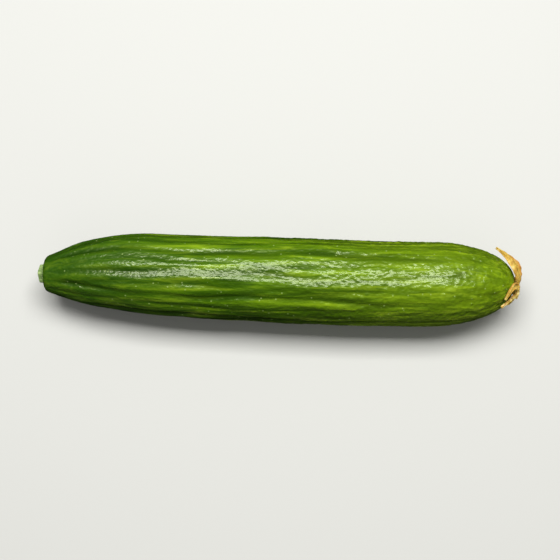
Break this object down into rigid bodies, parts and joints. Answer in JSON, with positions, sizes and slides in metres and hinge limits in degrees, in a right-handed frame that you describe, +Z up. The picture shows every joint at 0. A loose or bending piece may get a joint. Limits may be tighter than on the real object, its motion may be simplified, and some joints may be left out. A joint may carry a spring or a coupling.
{
  "type": "cucumber",
  "caption": "Picked cucumber with a ribbed waxy skin, a slim neck with a cut stem stub and a withered flower on its nose, lying on its side.",
  "frame": {"origin": "middle of the fruit's length, on the flat spot that it rests on", "axes": "+X along the fruit from the stem end to the blossom end, +Z up from the surface it lies on, +Y to its left"},
  "size_m": [0.2016, 0.0372, 0.0352],
  "materials": {
    "skin": "satin",
    "stem": "matte",
    "petal": "matte"
  },
  "bodies": {
    "root": {"fruit": "skin", "stem_stub": "stem", "withered_flower": "petal"}
  },
  "joints": []
}
